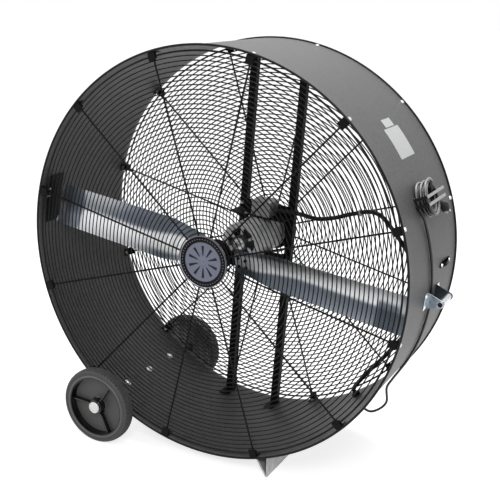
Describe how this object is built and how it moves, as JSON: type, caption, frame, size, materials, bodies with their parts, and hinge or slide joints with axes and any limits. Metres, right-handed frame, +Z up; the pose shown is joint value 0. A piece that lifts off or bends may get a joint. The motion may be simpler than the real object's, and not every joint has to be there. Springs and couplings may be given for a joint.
{
  "type": "drum fan",
  "caption": "Large rolling drum fan: a short steel drum with a wire guard on each mouth, a two-blade propeller on a strut-hung motor, two wheels and a folded foot.",
  "frame": {"origin": "on the floor, under the middle of the fan's footprint box, cord left out", "axes": "+Z up; -Y out of the drum's front mouth, along the propeller's axis; +X towards the side with the handle and the coiled cord"},
  "size_m": [1.2966, 0.62, 1.2815],
  "materials": {
    "drum_paint": "dark grey textured powder coat",
    "guard_paint": "black gloss paint on wire",
    "black_steel": "satin black paint",
    "zinc_steel": "bright zinc plate with a blue tint",
    "blade_metal": "satin mill finish",
    "motor_paint": "mid grey enamel",
    "shaft_steel": "turned",
    "winding_core": "laminated core with copper windings",
    "badge_paint": "grey-blue enamel with a black rim",
    "wheel_plastic": "moulded charcoal",
    "tyre_rubber": "dull black rubber",
    "cap_zinc": "pressed and plated",
    "cord_rubber": "smooth black jacket",
    "tie_grey": "grey strap",
    "tie_white": "natural nylon"
  },
  "bodies": {
    "fan_frame": {"drum_shell": "drum_paint", "front_guard": "guard_paint", "front_badge": "badge_paint", "rear_guard": "guard_paint", "strut_left": "black_steel", "strut_right": "black_steel", "motor_bracket_upper": "black_steel", "motor_bracket_lower": "black_steel", "motor_shell": "motor_paint", "motor_front_bell": "motor_paint", "motor_rear_bell": "motor_paint", "motor_stator": "winding_core", "terminal_box": "motor_paint", "terminal_lid": "motor_paint", "lead_fitting": "black_steel", "motor_lead": "cord_rubber", "lead_tie": "tie_white", "axle_channel": "black_steel", "axle_rod": "shaft_steel", "front_axle_cap": "cap_zinc", "rear_axle_cap": "cap_zinc", "foot_channel": "zinc_steel", "handle_ear_front": "zinc_steel", "handle_ear_rear": "zinc_steel", "handle_tube": "zinc_steel", "side_clip": "black_steel", "inner_plate": "black_steel", "cord_gland": "black_steel", "strain_relief": "cord_rubber", "cord_run": "cord_rubber", "cord_coil": "cord_rubber", "cord_tail": "cord_rubber", "coil_tie_upper": "tie_grey", "coil_tie_lower": "tie_grey", "cord_hook": "black_steel", "plug": "cord_rubber", "guard_clip_01": "black_steel", "guard_clip_02": "black_steel", "guard_clip_03": "black_steel", "guard_clip_04": "black_steel", "guard_clip_05": "black_steel", "guard_clip_06": "black_steel", "guard_clip_07": "black_steel", "guard_clip_08": "black_steel", "guard_clip_09": "black_steel", "guard_clip_10": "black_steel", "guard_clip_11": "black_steel", "guard_clip_12": "black_steel"},
    "propeller": {"motor_shaft": "shaft_steel", "motor_rotor": "shaft_steel", "propeller_hub": "black_steel", "propeller_blade_a": "blade_metal", "propeller_blade_b": "blade_metal", "hub_nut": "shaft_steel"},
    "wheel_front": {"front_wheel": "wheel_plastic", "front_tyre": "tyre_rubber"},
    "wheel_rear": {"rear_wheel": "wheel_plastic", "rear_tyre": "tyre_rubber"}
  },
  "joints": [
    {"name": "propeller_spin", "type": "hinge", "parent": "fan_frame", "child": "propeller", "pos_m": [-0.02235, -0.158, 0.6555], "axis": [0, 1, 0], "continuous": true},
    {"name": "front_wheel_spin", "type": "hinge", "parent": "fan_frame", "child": "wheel_front", "pos_m": [-0.39735, -0.28, 0.125], "axis": [0, 1, 0], "continuous": true},
    {"name": "rear_wheel_spin", "type": "hinge", "parent": "fan_frame", "child": "wheel_rear", "pos_m": [-0.39735, 0.28, 0.125], "axis": [0, 1, 0], "continuous": true}
  ]
}
